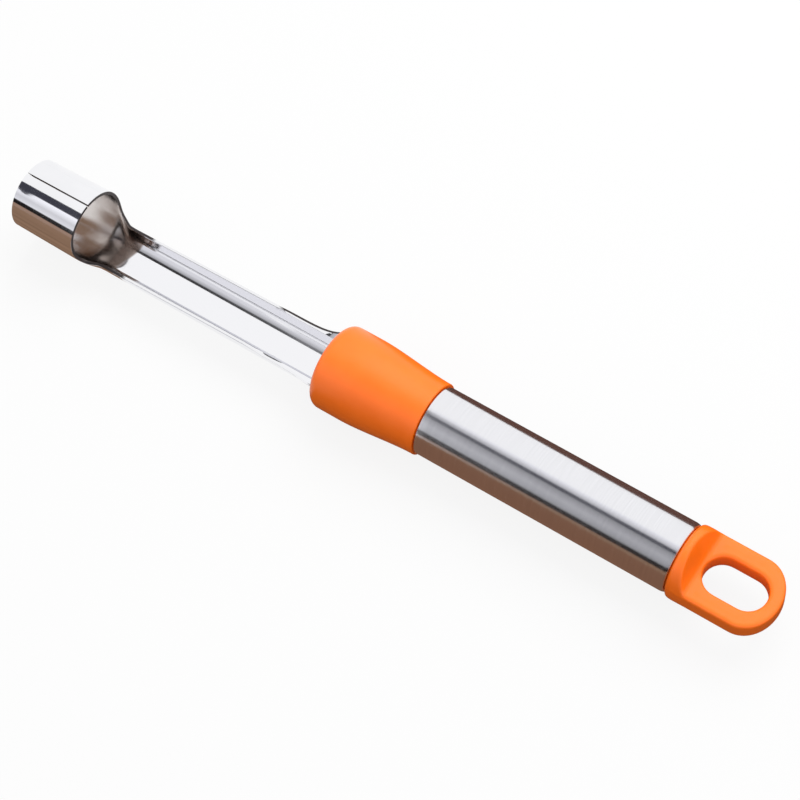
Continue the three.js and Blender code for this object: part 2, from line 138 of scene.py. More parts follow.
# Cap and hanging loop
CAP_LENGTH = 25.5 * MM
CAP_FRONT_ROUND = 1.2 * MM
CAP_RIM = 1.9 * MM
SCOOP_LENGTH = 3.7 * MM
SCOOP_POWER = 1.5                  # rounds the scoop's upper edge
TAB_THICKNESS = 5.6 * MM
TAB_INSET = 0.1 * MM               # the tab is narrower than the round cap by this much on each side
TAB_HALF_WIDTH = CAP_RADIUS - TAB_INSET
TAB_END_LENGTH = 7.9 * MM          # length of its half-ellipse end
TAB_EDGE_ROUND = 0.8 * MM
SLOT_FRONT = 5.7 * MM              # from the cap's front
SLOT_BACK = 22 * MM
SLOT_RADIUS = 5 * MM
MOULD_GRAIN = 0.24 * MM            # cell of the remesh that fuses the moulding
SOFTEN_SHARE = 0.5                 # how far each pass softens its edges
SOFTEN_PASSES = 30

# Mesh fineness
SHARP_ANGLE = math.radians(40)     # edges sharper than this show as edges
SHEET_SHARP_ANGLE = math.radians(20)
SHEET_ROUND_ANGLE = math.radians(45)   # the sheet's edges sharper than this are rounded
SHEET_ROUND_STEPS = 3
TURN_STEPS = 192
ROUND_STEPS = 8
CURVE_STEPS = 28
BODY_COLUMNS = 40                  # from the bottom of the trough up to a lip
CUT_COLUMNS = 16                   # up the steep part of the neck's cut
RIM_COLUMNS = 20                   # from there up to the seam
RING_ROWS = 44
NECK_ROWS = 24
TROUGH_ROWS = 28
SHOULDER_ROWS = 32
TANG_ROWS = 6
LOOP_STEPS = 160

CAP_FRONT = CAP_END - CAP_LENGTH
COLLAR_BACK = COLLAR_FRONT + COLLAR_LENGTH
NECK_FRONT = MOUTH_X + RING_LENGTH
NECK_BACK = NECK_FRONT + NECK_LENGTH
SHOULDER_BACK = COLLAR_FRONT - SEAT_GAP
SHOULDER_FRONT = SHOULDER_BACK - SHOULDER_LAND - SHOULDER_SWEEP


# Small helpers

def lerp(low, high, share):
    return low + (high - low) * share


def spread(low, high, steps):
    return [lerp(low, high, i / steps) for i in range(steps + 1)]


def smooth_step(value):
    share = min(max(value, 0), 1)
    return share * share * (3 - 2 * share)


def bezier(start, pull_start, pull_end, end, share):
    rest = 1 - share
    return (
        start * rest ** 3
        + pull_start * 3 * rest * rest * share
        + pull_end * 3 * rest * share * share
        + end * share ** 3
    )


def mesh_object(name, bm, finishes=(), sharp_angle=SHARP_ANGLE):
    bmesh.ops.recalc_face_normals(bm, faces=bm.faces)
    mesh = bpy.data.meshes.new(name)
    for material in finishes:
        mesh.materials.append(material)
    bm.to_mesh(mesh)
    bm.free()
    mesh.shade_smooth()
    mesh.set_sharp_from_angle(angle=sharp_angle)
    made = bpy.data.objects.new(name, mesh)
    bpy.context.scene.collection.objects.link(made)
    return made


def apply_modifiers(made):
    graph = bpy.context.evaluated_depsgraph_get()
    finished = bpy.data.meshes.new_from_object(made.evaluated_get(graph))
    made.modifiers.clear()
    made.data = finished


def join_rings(bm, low, high):
    """A band of faces between two closed rings, or a fan where one of them is a single point."""
    steps = max(len(low), len(high))
    for step in range(steps):
        after = (step + 1) % steps
        places = ((low, step), (low, after), (high, after), (high, step))
        corners = [ring[place % len(ring)] for ring, place in places]
        bm.faces.new(list(dict.fromkeys(corners)))


def stand_for(made, node):
    """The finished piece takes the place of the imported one."""
    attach(made, "root")
    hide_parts(node)


# Turned forms: a profile of (x, radius, groove) points, where the groove is cut between the ribs

def on_rib(turn):
    return (turn * RIB_COUNT / (2 * math.pi)) % 1 < RIB_SHARE


def add_turned(bm, profile, closed):
    rings = []
    for x, radius, groove in profile:
        if radius == 0:
            rings.append([bm.verts.new((x, 0, AXIS_HEIGHT))])
            continue
        ring = []
        for step in range(TURN_STEPS):
            turn = 2 * math.pi * step / TURN_STEPS
            here = radius - (0 if on_rib(turn) else groove)
            ring.append(bm.verts.new((x, here * math.sin(turn), AXIS_HEIGHT + here * math.cos(turn))))
        rings.append(ring)
    pairs = list(zip(rings, rings[1:]))
    if closed:
        pairs.append((rings[-1], rings[0]))
    for low, high in pairs:
        join_rings(bm, low, high)


def quarter_round(centre_x, centre_radius, size, start, end):
    """Profile points on a round, between two turns from the way straight out."""
    return [
        (centre_x + size * math.sin(turn), centre_radius + size * math.cos(turn), 0)
        for turn in spread(start, end, ROUND_STEPS)
    ]


# Blade: rows of arcs across the sheet, each open at the top by a different amount

def signed_power(value, power):
    return math.copysign(abs(value) ** power, value)


def lip_angle(section, height):
    """Turn from the section's bottom at which it reaches a height over the handle axis."""
    share = (section["rise"] - height) / section["radius"]
    return math.acos(signed_power(share, section["power"] / 2))


def section_at(x):
    """The sheet's form at a place along X: its radius, rise over the handle axis, and power."""
    neck = smooth_step((x - NECK_FRONT - NECK_TAPER_DELAY) / NECK_TAPER_LENGTH)
    ring_radius = lerp(MOUTH_RADIUS, RING_BACK_RADIUS, min((x - MOUTH_X) / RING_LENGTH, 1))
    return {
        "x": x,
        "radius": lerp(ring_radius, TROUGH_RADIUS, neck),
        "rise": lerp(RING_RISE, TROUGH_RISE, neck),
        "power": lerp(ROUND_POWER, TROUGH_POWER, neck),
    }


def sheet_point(section, signed_length):
    """Outer point, and the way out through the sheet, at a length from the section's bottom to one side."""
    side = math.copysign(1, signed_length)
    length = abs(signed_length)
    turn = min(length, section["wall"]) / section["radius"]
    aside, down = math.sin(turn), math.cos(turn)
    bulge = 2 / section["power"]
    y = section["radius"] * signed_power(aside, bulge)
    z = section["rise"] - section["radius"] * signed_power(down, bulge)
    heading = math.atan2(signed_power(aside, 2 - bulge), signed_power(down, 2 - bulge))
    reach = 1
    past = length - section["wall"]
    if past > -FOLD_NEAR:
        leaf_heading = lerp(heading, math.pi / 2 - SHOULDER_LEAN, section["lean"])
        y += max(past, 0) * math.cos(leaf_heading)
        z += max(past, 0) * math.sin(leaf_heading)
        if past < FOLD_NEAR:
            reach = 1 / math.cos((heading - leaf_heading) / 2)
            leaf_heading = (heading + leaf_heading) / 2
        heading = leaf_heading
    point = Vector((section["x"], side * y, AXIS_HEIGHT + z))
    outward = Vector((0, side * math.sin(heading), -math.cos(heading))) * reach
    if past > FOLD_NEAR:
        level = Vector((0, side / math.sin(heading), 0))
        outward = outward.lerp(level, section["lean"])
    return point, outward


def across(fold, leaf):
    """Places from lip to lip, with a column on each fold."""
    return [-fold - leaf] + spread(-fold, fold, 2 * BODY_COLUMNS - 2) + [fold + leaf]


def body_row(x, lip_height, leaf=LIP_LEAF, lean=0):
    """A row from lip to lip: a wall up to the fold on each side, and a leaf beyond it that may lean."""
    section = section_at(x)
    section["wall"] = section["radius"] * lip_angle(section, lip_height) - LIP_LEAF
    section["lean"] = lean
    places = [(section, length) for length in across(section["wall"], leaf)]
    return {"places": places, "first": CUT_COLUMNS + RIM_COLUMNS}


def neck_cut(share):
    """Place along X, and height, on the cut edge from the rim down to the level lips."""
    return bezier(
        Vector((NECK_FRONT, NECK_CORNER_HEIGHT)),
        Vector((NECK_FRONT + NECK_CORNER_LEAN, NECK_CORNER_HEIGHT - NECK_CORNER_DROP)),
        Vector((NECK_BACK - NECK_LIP_PULL, LIP_FRONT_HEIGHT)),
        Vector((NECK_BACK, LIP_FRONT_HEIGHT)),
        share,
    )


def ring_columns():
    """Where each column of the ring ends along X, and its turn from the bottom, round from the seam."""
    cut = [neck_cut(share) for share in spread(NECK_TURN, 0, CUT_COLUMNS)]
    steep = [(point.x, lip_angle(section_at(point.x), point.y)) for point in cut]
    corner_x, corner_turn = steep[0]
    seam_turn = math.pi - SEAM_GAP / 2 / RING_BACK_RADIUS
    rim = [(NECK_FRONT, turn) for turn in spread(steep[-1][1], seam_turn, RIM_COLUMNS)]
    side = steep[1:] + rim[1:]
    leaf_turn = LIP_LEAF / section_at(corner_x)["radius"]
    body = [(corner_x, turn) for turn in across(corner_turn - leaf_turn, leaf_turn)]
    return [(end, -turn) for end, turn in reversed(side)] + body + side


def ring_row(start, share):
    places = []
    for end, turn in ring_columns():
        section = section_at(lerp(start, end, share))
        section.update(wall=section["radius"] * math.pi, lean=0)
        places.append((section, section["radius"] * turn))
    return {"places": places, "first": 0}


def ring_rows():
    grind_back = MOUTH_X + GRIND_LENGTH
    return [ring_row(MOUTH_X, 0)] + [ring_row(grind_back, share) for share in spread(0, 1, RING_ROWS)]


def neck_rows():
    cut = [neck_cut(share) for share in spread(NECK_TURN, 1, NECK_ROWS)[1:]]
    return [body_row(point.x, point.y) for point in cut]


def trough_rows():
    rows = []
    for share in spread(0, 1, TROUGH_ROWS)[1:]:
        height = lerp(LIP_FRONT_HEIGHT, LIP_BACK_HEIGHT, share)
        rows.append(body_row(lerp(NECK_BACK, SHOULDER_FRONT, share), height))
    return rows


def shoulder_rows():
    rows = []
    for x in spread(SHOULDER_FRONT, SHOULDER_BACK, SHOULDER_ROWS)[1:]:
        share = min((x - SHOULDER_FRONT) / SHOULDER_SWEEP, 1)
        leaf = lerp(LIP_LEAF, SHOULDER_LEAF, share ** SHOULDER_POWER)
        rows.append(body_row(x, LIP_BACK_HEIGHT, leaf, smooth_step(share / LEAN_SHARE)))
    return rows


def tang_arc():
    """Length along the section from its bottom to a side of the tang."""
    return TROUGH_RADIUS * math.asin(signed_power(TANG_WIDTH / 2 / TROUGH_RADIUS, TROUGH_POWER / 2))


def tang_rows(last):
    core = [(section, length) for section, length in last["places"] if abs(length) <= tang_arc()]
    first = last["first"] + (len(last["places"]) - len(core)) // 2
    stations = spread(SHOULDER_BACK, COLLAR_FRONT + TANG_LENGTH, TANG_ROWS)[1:]
    return [
        {"places": [({**section, "x": x}, length) for section, length in core], "first": first}
        for x in stations
    ]


def sheet_at(section, length):
    """Thickness of the sheet: ground thin at the mouth, and drawn thin towards the end of a leaf."""
    if abs(length) > section["wall"] + FOLD_NEAR:
        return lerp(SHEET, LEAF_SHEET, section["lean"])
    return lerp(EDGE_SHEET, SHEET, min((section["x"] - MOUTH_X) / GRIND_LENGTH, 1))


# Finishes of the blade, in the order in which it gets its materials
POLISHED, ROLLED, CUT = range(3)


def add_sheet(bm, rows):
    """A closed skin round the rows. The sheet ends at columns that the next row doesn't have."""
    outer, inner = [], []
    for row in rows:
        places = [(*sheet_point(*place), sheet_at(*place)) for place in row["places"]]
        outer.append([bm.verts.new(point) for point, _, _ in places])
        inner.append([bm.verts.new(point - outward * sheet) for point, outward, sheet in places])

    def add_face(corners, finish):
        bm.faces.new(corners).material_index = finish

    for i, row in enumerate(rows):
        cells = len(row["places"]) - 1
        later = rows[i + 1] if i + 1 < len(rows) else None
        shift = later["first"] - row["first"] if later else cells
        shared = len(later["places"]) - 1 if later else 0
        for column in range(cells):
            end_wall = (outer[i][column], outer[i][column + 1], inner[i][column + 1], inner[i][column])
            if i == 0:
                add_face(end_wall, POLISHED)
            if column < shift or column >= shift + shared:
                add_face(end_wall, CUT)
                continue
            to = column - shift
            for skin, finish in ((outer, POLISHED), (inner, ROLLED)):
                here, there = skin[i], skin[i + 1]
                add_face((here[column], here[column + 1], there[to + 1], there[to]), finish)
        if later:
            for column, to in ((shift, 0), (shift + shared, shared)):
                add_face((outer[i][column], outer[i + 1][to], inner[i + 1][to], inner[i][column]), CUT)


def weigh_sheet_edges(bm):
    """Marks the edges to be rounded: less up the neck's cut and along the leaves, and not at the mouth."""
    bm.normal_update()
    weights = bm.edges.layers.float.new("bevel_weight_edge")
    corner = neck_cut(NECK_TURN)
    for edge in bm.edges:
        middle = (edge.verts[0].co + edge.verts[1].co) / 2
        if edge.calc_face_angle(0) < SHEET_ROUND_ANGLE or middle.x < MOUTH_X + GRIND_LENGTH:
            continue
        over_lip = middle.z - AXIS_HEIGHT - corner.y
        climb = smooth_step(over_lip / RIM_ROUND_FADE) if middle.x <= corner.x else 0
        leafing = smooth_step((middle.x - SHOULDER_FRONT) / (SHOULDER_SWEEP * LEAN_SHARE))
        edge[weights] = lerp(1, RIM_ROUND_SHARE, climb) * lerp(1, LEAF_ROUND_SHARE, leafing)


def make_blade(finishes):
    bm = bmesh.new()
    rows = ring_rows() + neck_rows() + trough_rows() + shoulder_rows()
    rows += tang_rows(rows[-1])
    add_sheet(bm, rows)
    bmesh.ops.recalc_face_normals(bm, faces=bm.faces)
    weigh_sheet_edges(bm)
    blade = mesh_object("blade_polished", bm, finishes, SHEET_SHARP_ANGLE)
    rounding = blade.modifiers.new("round_edges", "BEVEL")
    rounding.limit_method = "WEIGHT"
    rounding.width = EDGE_ROUND
    rounding.segments = SHEET_ROUND_STEPS
    apply_modifiers(blade)
    blade.modifiers.new("even_shading", "WEIGHTED_NORMAL").keep_sharp = True
    stand_for(blade, "corer_blade")


# Collar

def tang_cutter():
    """The room of the tang in the collar, a little larger than the tang all round."""
    half_arc = tang_arc() + SEAT_GAP
    stations = (COLLAR_FRONT - JOINT_GAP, COLLAR_FRONT + TANG_LENGTH + SEAT_GAP)
    bm = bmesh.new()
    sections = []
    for x in stations:
        section = {**section_at(x), "wall": half_arc, "lean": 0}
        places = [sheet_point(section, length) for length in spread(-half_arc, half_arc, 2 * CURVE_STEPS)]
        outer = [point + outward * SEAT_GAP for point, outward in places]
        inner = [point - outward * (SHEET + SEAT_GAP) for point, outward in reversed(places)]
        sections.append([bm.verts.new(point) for point in outer + inner])
    front, back = sections
    bm.faces.new(front)
    bm.faces.new(back)
    join_rings(bm, front, back)
    return mesh_object("tang_cutter", bm)


def make_collar(material):
    nose_centre = COLLAR_RADIUS - COLLAR_NOSE_ROUND
    back_centre = COLLAR_BACK_RADIUS - COLLAR_BACK_ROUND
    taper_end = COLLAR_BACK - COLLAR_BACK_ROUND
    taper = [
        bezier(
            Vector((COLLAR_FRONT + COLLAR_BARREL_LENGTH, COLLAR_RADIUS, 0)),
            Vector((COLLAR_FRONT + COLLAR_BARREL_LENGTH + COLLAR_TAPER_PULL, COLLAR_RADIUS, 0)),
            Vector((COLLAR_BACK - COLLAR_TAPER_PULL, COLLAR_BACK_RADIUS, 0)),
            Vector((taper_end, COLLAR_BACK_RADIUS, 0)),
            share,
        )
        for share in spread(0, 1, CURVE_STEPS)
    ]
    spigot_end = COLLAR_HIGH.x
    profile = [
        (COLLAR_FRONT, 0, 0),
        *quarter_round(COLLAR_FRONT + COLLAR_NOSE_ROUND, nose_centre, COLLAR_NOSE_ROUND, -math.pi / 2, 0),
        *[tuple(point) for point in taper],
        *quarter_round(taper_end, back_centre, COLLAR_BACK_ROUND, 0, math.pi / 2)[1:],
        (COLLAR_BACK, RIB_RADIUS, RIB_HEIGHT),
        (spigot_end, RIB_RADIUS, RIB_HEIGHT),
        (spigot_end, 0, 0),
    ]
    bm = bmesh.new()
    add_turned(bm, profile, closed=False)
    collar = mesh_object("collar_moulded", bm, [material])
    cutter = tang_cutter()
    cut = collar.modifiers.new("tang_room", "BOOLEAN")
    cut.operation = "DIFFERENCE"
    cut.solver = "EXACT"
    cut.object = cutter
    apply_modifiers(collar)
    bpy.data.objects.remove(cutter)
    stand_for(collar, "front_collar")


# Tube

def make_tube(material):
    front, back = TUBE_LOW.x, TUBE_HIGH.x
    bore = TUBE_RADIUS - TUBE_WALL
    edge = TUBE_EDGE_ROUND
    roll = [
        (back - TUBE_ROLL_LENGTH * (1 - share), TUBE_ROLL_DEPTH * share * share)
        for share in spread(0, 1, ROUND_STEPS)
    ]
    outside = [(x, TUBE_RADIUS - dip, 0) for x, dip in roll[:-1]]
    inside = [(x, bore - dip, 0) for x, dip in reversed(roll[:-1])]
    rim_radius = TUBE_RADIUS - TUBE_ROLL_DEPTH - edge
    profile = [
        *quarter_round(front + edge, bore + edge, edge, math.pi, 3 * math.pi / 2),
        *quarter_round(front + edge, TUBE_RADIUS - edge, edge, -math.pi / 2, 0),
        *[(x, TUBE_RADIUS, 0) for x in spread(front, back - TUBE_ROLL_LENGTH, CURVE_STEPS)[1:-1]],
        *outside,
        *quarter_round(back - edge, rim_radius, edge, 0, math.pi / 2),
        *quarter_round(back - edge, bore - TUBE_ROLL_DEPTH + edge, edge, math.pi / 2, math.pi),
        *inside,
    ]
    bm = bmesh.new()
    add_turned(bm, profile, closed=True)
    tube = mesh_object("tube_satin", bm, [material])
    stand_for(tube, "handle_tube")


# End cap

def add_scooped_body(bm):
    """The round front of the cap, its top and bottom cut away by a concave scoop towards the loop."""
    edge_centre = CAP_RADIUS - CAP_FRONT_ROUND
    front = quarter_round(CAP_FRONT + CAP_FRONT_ROUND, edge_centre, CAP_FRONT_ROUND, -math.pi / 2, 0)
    stations = [(x, radius, CAP_RADIUS) for x, radius, _ in front]
    for share in spread(0, 1, CURVE_STEPS):
        x = CAP_FRONT + CAP_RIM + SCOOP_LENGTH * share
        height = lerp(CAP_RADIUS, TAB_THICKNESS / 2, math.sin(math.pi / 2 * share) ** SCOOP_POWER)
        stations.append((x, CAP_RADIUS, height))
    rings = []
    for x, radius, height in stations:
        ring = []
        for step in range(TURN_STEPS):
            turn = 2 * math.pi * step / TURN_STEPS
            z = min(max(radius * math.sin(turn), -height), height)
            ring.append(bm.verts.new((x, radius * math.cos(turn), AXIS_HEIGHT + z)))
        rings.append(ring)
    for low, high in zip(rings, rings[1:]):
        join_rings(bm, low, high)
    bm.faces.new(rings[0])
    bm.faces.new(rings[-1])


def add_plug(bm):
    low = CAP_LOW.x
    neck_radius = RIB_RADIUS - TUBE_ROLL_DEPTH
    neck_front = CAP_FRONT - JOINT_GAP - TUBE_ROLL_LENGTH
    core_end = low + PLUG_CORE_DEPTH
    profile = [
        (core_end, 0, 0),
        (core_end, PLUG_CORE_RADIUS, 0),
        (low, PLUG_CORE_RADIUS, 0),
        (low, RIB_RADIUS, RIB_HEIGHT),
        (neck_front, RIB_RADIUS, RIB_HEIGHT),
        (neck_front, neck_radius, 0),
        (CAP_FRONT + CAP_FRONT_ROUND, neck_radius, 0),
        (CAP_FRONT + CAP_FRONT_ROUND, 0, 0),
    ]
    add_turned(bm, profile, closed=False)


def loop_outline(front, back, half_width, front_round, back_round, share):
    """Point and way out on an outline with half-ellipse ends, from the back end's middle round."""
    if share > 0.5:
        point, outward = loop_outline(front, back, half_width, front_round, back_round, 1 - share)
        return Vector((point.x, -point.y)), Vector((outward.x, -outward.y))
    back_arc = math.pi * (half_width + back_round) / 4
    front_arc = math.pi * (half_width + front_round) / 4
    straight = back - back_round - front - front_round
    length = 2 * share * (back_arc + straight + front_arc)
    if length < back_arc:
        turn = length / back_arc * math.pi / 2
        size, centre = back_round, back - back_round
    elif length < back_arc + straight:
        return Vector((back - back_round - (length - back_arc), half_width)), Vector((0, 1))
    else:
        turn = math.pi / 2 + (length - back_arc - straight) / front_arc * math.pi / 2
        size, centre = front_round, front + front_round
    point = Vector((centre + size * math.cos(turn), half_width * math.sin(turn)))
    outward = Vector((half_width * math.cos(turn), size * math.sin(turn))).normalized()
    return point, outward


def add_loop(bm):
    """The flat loop: a section with rounded corners carried round the slot."""
    side = TAB_THICKNESS / 2 - TAB_EDGE_ROUND
    corner_turns = spread(0, math.pi / 2, ROUND_STEPS)
    rings = []
    for step in range(LOOP_STEPS):
        share = step / LOOP_STEPS
        rim, rim_out = loop_outline(CAP_RIM, CAP_LENGTH, TAB_HALF_WIDTH, 0, TAB_END_LENGTH, share)
        hole, hole_out = loop_outline(SLOT_FRONT, SLOT_BACK, SLOT_RADIUS, SLOT_RADIUS, SLOT_RADIUS, share)
        edges = ((rim, -rim_out, 1), (hole, hole_out, 1), (hole, hole_out, -1), (rim, -rim_out, -1))
        ring = []
        for edge, into_loop, up in edges:
            climbing = (edge is rim) == (up == 1)
            for turn in corner_turns if climbing else reversed(corner_turns):
                flat = edge + into_loop * TAB_EDGE_ROUND * (1 - math.cos(turn))
                height = up * (side + TAB_EDGE_ROUND * math.sin(turn))
                ring.append(bm.verts.new((CAP_FRONT + flat.x, flat.y, AXIS_HEIGHT + height)))
        rings.append(ring)
    for i, ring in enumerate(rings):
        join_rings(bm, ring, rings[(i + 1) % LOOP_STEPS])


def make_cap(material):
    bm = bmesh.new()
    add_scooped_body(bm)
    add_plug(bm)
    add_loop(bm)
    cap = mesh_object("cap_moulded", bm, [material], math.pi)
    fuse = cap.modifiers.new("fuse", "REMESH")
    fuse.mode = "VOXEL"
    fuse.voxel_size = MOULD_GRAIN
    fuse.use_smooth_shade = True
    soften = cap.modifiers.new("soften", "SMOOTH")
    soften.factor = SOFTEN_SHARE
    soften.iterations = SOFTEN_PASSES
    apply_modifiers(cap)
    stand_for(cap, "end_cap")


# Materials

NOISE_ROUGHNESS = 0.6
NOISE_LOW = 0.3                    # most of a noise's values lie between these two
NOISE_HIGH = 0.7
MOTTLE = 0.05                      # how uneven the border of a finish is
SCRATCH_DEPTH = 0.01 * MM
GRAIN_DEPTH = 0.02 * MM
NECK_SHADE_START = 0.25               # the painted neck shade is full between these shares of its zone
NECK_SHADE_END = 0.93
# colour of the painted shade inside the neck
NECK_SHADE_COLOUR = (0.40, 0.335, 0.305, 1)


def new_material(name):
    material = bpy.data.materials.new(name)
    material.use_nodes = True
    tree = material.node_tree
    tree.nodes.clear()
    return material, tree


def add_node(tree, kind, settings=None, inputs=None):
    node = tree.nodes.new(kind)
    for name, value in (settings or {}).items():
        setattr(node, name, value)
    for name, value in (inputs or {}).items():
        node.inputs[name].default_value = value
    return node


def noise(tree, stretch, detail):
    """Noise in the part's own frame, stretched by a number of cells per metre along each axis."""
    place = add_node(tree, "ShaderNodeTexCoord")
    scaled = add_node(tree, "ShaderNodeMapping", inputs={"Scale": stretch})
    settings = {"Scale": 1, "Detail": detail, "Roughness": NOISE_ROUGHNESS}
    texture = add_node(tree, "ShaderNodeTexNoise", inputs=settings)
    tree.links.new(place.outputs["Object"], scaled.inputs["Vector"])
    tree.links.new(scaled.outputs["Vector"], texture.inputs["Vector"])
    return texture.outputs["Fac"]


def ranged(tree, source, low, high, start=NOISE_LOW, end=NOISE_HIGH):
    """Goes from low to high while the source goes from start to end."""
    window = {"From Min": start, "From Max": end, "To Min": low, "To Max": high}
    node = add_node(tree, "ShaderNodeMapRange", inputs=window)
    tree.links.new(source, node.inputs["Value"])
    return node.outputs["Result"]


def tinted(tree, source, low, high):
    ramp = add_node(tree, "ShaderNodeValToRGB")
    first, last = ramp.color_ramp.elements
    first.position = NOISE_LOW
    last.position = NOISE_HIGH
    first.color = (*low, 1)
    last.color = (*high, 1)
    tree.links.new(source, ramp.inputs["Fac"])
    return ramp.outputs["Color"]


def bumped(tree, source, strength, depth):
    node = add_node(tree, "ShaderNodeBump", inputs={"Strength": strength, "Distance": depth})
    tree.links.new(source, node.inputs["Height"])
    return node.outputs["Normal"]


def surface(tree, inputs, links):
    shader = add_node(tree, "ShaderNodeBsdfPrincipled", inputs=inputs)
    output = add_node(tree, "ShaderNodeOutputMaterial")
    for name, source in links.items():
        tree.links.new(source, shader.inputs[name])
    tree.links.new(shader.outputs["BSDF"], output.inputs["Surface"])
    return shader


def polished_steel():
    material, tree = new_material("polished_steel")
    polish = noise(tree, (120, 2600, 2600), 4)
    haze = noise(tree, (60, 90, 90), 3)
    surface(tree, {"Metallic": 1}, {
        "Base Color": tinted(tree, haze, (0.86, 0.865, 0.89), (0.92, 0.92, 0.94)),
        "Roughness": ranged(tree, haze, 0.05, 0.09),
        "Normal": bumped(tree, polish, 0.05, SCRATCH_DEPTH),
    })
    return material


def along(tree, low, high, slant, mottle):
    """Goes from 0 to 1 between two places along X, a little unevenly.

    The slant moves both places back on the far side, which is +Y, and forward on the near one.
    """
    place = add_node(tree, "ShaderNodeTexCoord")
    slanted = add_node(tree, "ShaderNodeVectorMath", {"operation": "DOT_PRODUCT"})
    slanted.inputs[1].default_value = (1, -slant, 0)
    share = add_node(tree, "ShaderNodeMapRange", inputs={"From Min": low, "From Max": high})
    mottled = add_node(tree, "ShaderNodeMath", {"operation": "MULTIPLY_ADD"})
    mottled.inputs[1].default_value = MOTTLE
    tree.links.new(place.outputs["Object"], slanted.inputs[0])
    tree.links.new(slanted.outputs["Value"], share.inputs["Value"])
    tree.links.new(mottle, mottled.inputs[0])
    tree.links.new(share.outputs["Result"], mottled.inputs[2])
    return mottled.outputs["Value"]


def rolled_steel_and_neck_shade():
    """The inside of the sheet: plain in the ring, darkened with painted shade inside the neck, polished
    behind it.
    """
    material, tree = new_material("rolled_steel_and_neck_shade")
    mill = noise(tree, (90, 1500, 1500), 4)
    cloud = noise(tree, (60, 90, 90), 2)
    neck_shade = along(tree, NECK_FRONT - NECK_SHADE_LEAD, NECK_BACK + NECK_SHADE_LENGTH, NECK_SHADE_SLANT, cloud)
    # the two middle stops paint shade into the neck
    ramp = add_node(tree, "ShaderNodeValToRGB")
    stops = ramp.color_ramp.elements
    stops[0].color = (0.88, 0.86, 0.85, 1)
    stops[1].color = (0.90, 0.90, 0.925, 1)
    for place in (NECK_SHADE_START, NECK_SHADE_END):
        stops.new(place).color = NECK_SHADE_COLOUR
    tree.links.new(neck_shade, ramp.inputs["Fac"])
    surface(tree, {"Metallic": 1}, {
        "Base Color": ramp.outputs["Color"],
        "Roughness": ranged(tree, neck_shade, 0.17, 0.07, NECK_SHADE_END, 1),
        "Normal": bumped(tree, mill, 0.05, SCRATCH_DEPTH),
    })
    return material


def sheared_steel_and_painted_shade():
    """The cut edge of the sheet: rough and darkened with painted shade at the rim, the neck and the leaves,
    polished on the lips between.
    """
    material, tree = new_material("sheared_steel_and_painted_shade")
    tear = noise(tree, (2400, 700, 700), 4)
    dark_edge_end = NECK_BACK + DARK_EDGE_LENGTH
    polish = along(tree, dark_edge_end, dark_edge_end + POLISH_LENGTH, 0, tear)
    leaf_shade_start = COLLAR_FRONT - LEAF_SHADE_LEAD
    leaf = along(tree, leaf_shade_start - LEAF_SHADE_FADE, leaf_shade_start, LEAF_SHADE_SLANT, tear)
    lips = add_node(tree, "ShaderNodeMath", {"operation": "SUBTRACT"})
    tree.links.new(polish, lips.inputs[0])
    tree.links.new(leaf, lips.inputs[1])
    surface(tree, {"Metallic": 1}, {
        # the near-black colour on the rough edges is painted shade
        "Base Color": tinted(tree, lips.outputs["Value"], (0.075, 0.065, 0.065), (0.88, 0.88, 0.90)),
        "Roughness": ranged(tree, lips.outputs["Value"], 0.42, 0.08),
        "Normal": bumped(tree, tear, 0.1, SCRATCH_DEPTH),
    })
    return material


def satin_steel():
    material, tree = new_material("satin_steel")
    brush = noise(tree, (5200, 45, 45), 5)
    haze = noise(tree, (50, 80, 80), 3)
    shader = surface(tree, {"Metallic": 1, "Anisotropic": 0.8, "Anisotropic Rotation": 0.25}, {
        "Base Color": tinted(tree, brush, (0.80, 0.80, 0.83), (0.90, 0.90, 0.93)),
        "Roughness": ranged(tree, haze, 0.19, 0.23),
        "Normal": bumped(tree, brush, 0.12, SCRATCH_DEPTH),
    })
    tangent = add_node(tree, "ShaderNodeTangent", {"direction_type": "RADIAL", "axis": "X"})
    tree.links.new(tangent.outputs["Tangent"], shader.inputs["Tangent"])
    return material


def orange_plastic():
    material, tree = new_material("orange_plastic")
    grain = noise(tree, (2800, 2800, 2800), 3)
    cloud = noise(tree, (140, 140, 140), 3)
    surface(tree, {"Specular IOR Level": 0.55}, {
        "Base Color": tinted(tree, cloud, (0.97, 0.156, 0.003), (1.0, 0.170, 0.005)),
        "Roughness": ranged(tree, cloud, 0.3, 0.37),
        "Normal": bumped(tree, grain, 0.12, GRAIN_DEPTH),
    })
    return material


# Studio

WHITE = (1, 1, 1, 1)
FILL_LIGHT = 0.86                  # world light on the object
FLOOR_RADIUS = 4
FLOOR_STEPS = 64
FLOOR_COLOUR = (0.08, 0.08, 0.08, 1)
FLOOR_GLOW = 0.87                  # brings the floor up to white where it shows

# Colours of the cards that the steel mirrors
COOLNESS = 1.05                    # the greys are this much stronger in blue
BLACK = (0.012, 0.010, 0.010)
SLATE = (0.05, 0.05, 0.065)
WOOD_LIGHT = (0.33, 0.215, 0.16)
WOOD = (0.25, 0.15, 0.095)
WOOD_MID = (0.2, 0.1, 0.062)
WOOD_DARK = (0.12, 0.06, 0.047)
WOOD_GRAIN = 0.25                  # strength of the wood's streaks
GRAIN_STRETCH = (8, 260, 260)

# Curved cards round the handle's axis: zones along X, each named for the part that mirrors it
DRUM_RADIUS = 0.6
HORIZON = 91                       # degrees from the zenith at which the drum meets the table
CARD_FRONT = -0.6
RING_ZONE_END = -0.385
SHANK_ZONE_END = -0.27
SHOULDER_ZONE_END = -0.2
CARD_BACK = 0.7

# A small dark card near the ring: degrees from the zenith, and both ends along X, of its two edges
FLAG_RADIUS = 0.092
FLAG_EDGES = ((27, (-0.1592, -0.1515)), (38.5, (-0.1555, -0.1543)))

